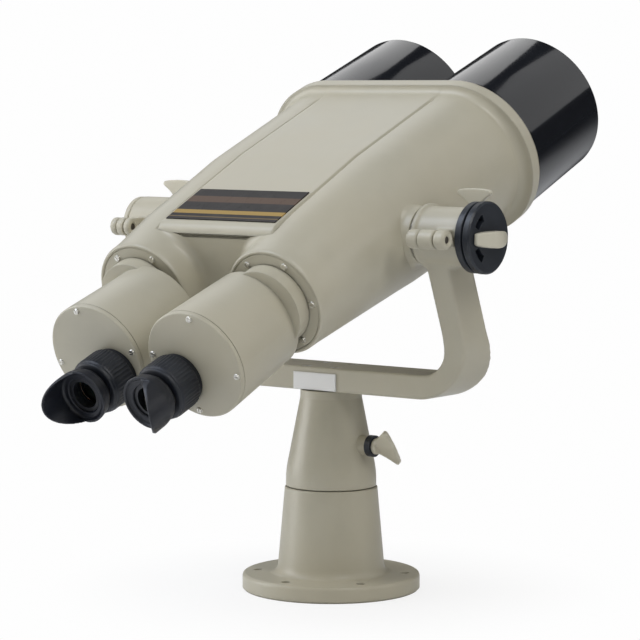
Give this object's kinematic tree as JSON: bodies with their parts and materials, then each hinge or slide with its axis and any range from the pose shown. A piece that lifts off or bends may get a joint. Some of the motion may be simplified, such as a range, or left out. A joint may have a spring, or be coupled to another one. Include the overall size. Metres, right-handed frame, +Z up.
{
  "type": "coin operated binoculars",
  "caption": "Twin-barrel observation binocular with hooded objectives and angled-back eyepieces, tilting in a fork on a short bolt-down swivel pedestal.",
  "frame": {"origin": "centre of the anchor bolt circle on the base's underside, on the swivel axis", "axes": "+Z up, +Y towards the objectives and away from the viewer, +X to the viewer's right"},
  "size_m": [0.4311, 0.617, 0.5388],
  "materials": {
    "enamel": "semi-gloss warm grey enamel on cast metal",
    "base_enamel": "semi-gloss warm grey enamel, dusty at the flange",
    "fork_enamel": "semi-gloss warm grey enamel with worn edges",
    "housing_enamel": "semi-gloss warm grey enamel over a cast housing",
    "rim_enamel": "semi-gloss warm grey enamel",
    "prism_enamel": "semi-gloss warm grey enamel",
    "screw_enamel": "enamelled casting rubbed where fingers turn it",
    "hood_black": "high-gloss black lacquer",
    "gloss_black": "black anodised, satin",
    "grip_black": "moulded black rubber grip",
    "rubber": "soft black rubber",
    "knob_black": "blue-grey black, satin",
    "steel": "turned steel",
    "screw_steel": "bright plated screw heads",
    "bronze": "bearing bronze",
    "white_plate": "white plate, blank",
    "label_black": "black plate with plain brown and gold bands, no lettering",
    "glass": "polished prism glass",
    "coated_glass": "anti-reflection coated glass"
  },
  "bodies": {
    "pedestal": {"pedestal_base": "base_enamel", "azimuth_spindle": "steel", "spindle_screws": "steel", "thrust_washer": "bronze", "spindle_collar": "steel"},
    "swivel": {"swivel_column": "enamel", "swivel_bushes": "bronze", "lock_collar": "knob_black", "fork": "fork_enamel", "fork_screws": "steel", "fork_plate": "white_plate", "cap_hinge_pin_left": "steel", "cap_hinge_pin_right": "steel", "tension_disc": "knob_black", "friction_washer": "bronze"},
    "azimuth_lock": {"lock_screw": "screw_enamel"},
    "head": {"main_housing": "housing_enamel", "top_plate": "label_black", "front_rim": "rim_enamel", "rim_screws": "steel", "barrel_baffles": "gloss_black", "trunnion_left": "steel", "trunnion_right": "steel", "trunnion_end_cap": "enamel", "rear_flange_screws": "screw_steel", "hood_left": "hood_black", "hood_right": "hood_black", "objective_cell_left": "gloss_black", "objective_cell_right": "gloss_black", "objective_lens_left": "coated_glass", "objective_lens_right": "coated_glass", "lens_retainer_left": "gloss_black", "lens_retainer_right": "gloss_black", "rear_flange_left": "enamel", "rear_flange_right": "enamel"},
    "tension_wing": {"tension_screw": "screw_enamel"},
    "cap_left": {"bearing_cap_left": "enamel"},
    "clamp_left": {"clamp_screw_left": "screw_enamel"},
    "prism_left": {"prism_housing_left": "prism_enamel", "prism_cover_left": "prism_enamel", "cover_screws_left": "screw_steel", "prisms_left": "glass"},
    "focus_left": {"focus_ring_left": "grip_black"},
    "eyepiece_left": {"ocular_left": "gloss_black", "eyecup_left": "rubber", "eye_lens_left": "coated_glass"},
    "cap_right": {"bearing_cap_right": "enamel"},
    "clamp_right": {"clamp_screw_right": "screw_enamel"},
    "prism_right": {"prism_housing_right": "prism_enamel", "prism_cover_right": "prism_enamel", "cover_screws_right": "screw_steel", "prisms_right": "glass"},
    "focus_right": {"focus_ring_right": "grip_black"},
    "eyepiece_right": {"ocular_right": "gloss_black", "eyecup_right": "rubber", "eye_lens_right": "coated_glass"}
  },
  "joints": [
    {"name": "azimuth_turn", "type": "hinge", "parent": "pedestal", "child": "swivel", "pos_m": [0, 0, 0.1], "axis": [0, 0, 1], "continuous": true},
    {"name": "elevation_tilt", "type": "hinge", "parent": "swivel", "child": "head", "pos_m": [0, -0.0475, 0.3533], "axis": [1, 0, 0], "range_deg": [-46, 38]},
    {"name": "azimuth_lock_turn", "type": "hinge", "parent": "swivel", "child": "azimuth_lock", "pos_m": [0.053, 0, 0.144], "axis": [1, 0, 0], "range_deg": [-180, 180]},
    {"name": "tension_turn", "type": "hinge", "parent": "head", "child": "tension_wing", "pos_m": [0.216, -0.0475, 0.3533], "axis": [1, 0, 0], "range_deg": [-180, 180]},
    {"name": "cap_left_open", "type": "hinge", "parent": "swivel", "child": "cap_left", "pos_m": [-0.1795, -0.099, 0.3533], "axis": [1, 0, 0], "range_deg": [0, 100]},
    {"name": "clamp_left_turn", "type": "hinge", "parent": "cap_left", "child": "clamp_left", "pos_m": [-0.179, -0.017, 0.3703], "axis": [0, 0, 1], "range_deg": [-180, 180]},
    {"name": "eye_spacing_left", "type": "hinge", "parent": "head", "child": "prism_left", "pos_m": [-0.0774, -0.0475, 0.3533], "axis": [0, -0.9278, -0.373], "range_deg": [-3, 21]},
    {"name": "focus_turn_left", "type": "hinge", "parent": "prism_left", "child": "focus_left", "pos_m": [-0.038, -0.28809, 0.22791], "axis": [0, 0.9278, 0.373], "range_deg": [-150, 150]},
    {"name": "eyepiece_slide_left", "type": "slide", "parent": "prism_left", "child": "eyepiece_left", "axis": [0, 0.9278, 0.373], "range_m": [-0.0031, 0.0031]},
    {"name": "cap_right_open", "type": "hinge", "parent": "swivel", "child": "cap_right", "pos_m": [0.1795, -0.099, 0.3533], "axis": [1, 0, 0], "range_deg": [0, 100]},
    {"name": "clamp_right_turn", "type": "hinge", "parent": "cap_right", "child": "clamp_right", "pos_m": [0.179, -0.017, 0.3703], "axis": [0, 0, 1], "range_deg": [-180, 180]},
    {"name": "eye_spacing_right", "type": "hinge", "parent": "head", "child": "prism_right", "pos_m": [0.0774, -0.0475, 0.3533], "axis": [0, 0.9278, 0.373], "range_deg": [-3, 21]},
    {"name": "focus_turn_right", "type": "hinge", "parent": "prism_right", "child": "focus_right", "pos_m": [0.038, -0.28809, 0.22791], "axis": [0, 0.9278, 0.373], "range_deg": [-150, 150]},
    {"name": "eyepiece_slide_right", "type": "slide", "parent": "prism_right", "child": "eyepiece_right", "axis": [0, 0.9278, 0.373], "range_m": [-0.0031, 0.0031]}
  ],
  "couplings": [
    {"joint": "eyepiece_slide_left", "follows": "focus_turn_left", "m_per_rad": 0.0011459},
    {"joint": "eyepiece_slide_right", "follows": "focus_turn_right", "m_per_rad": 0.0011459}
  ]
}
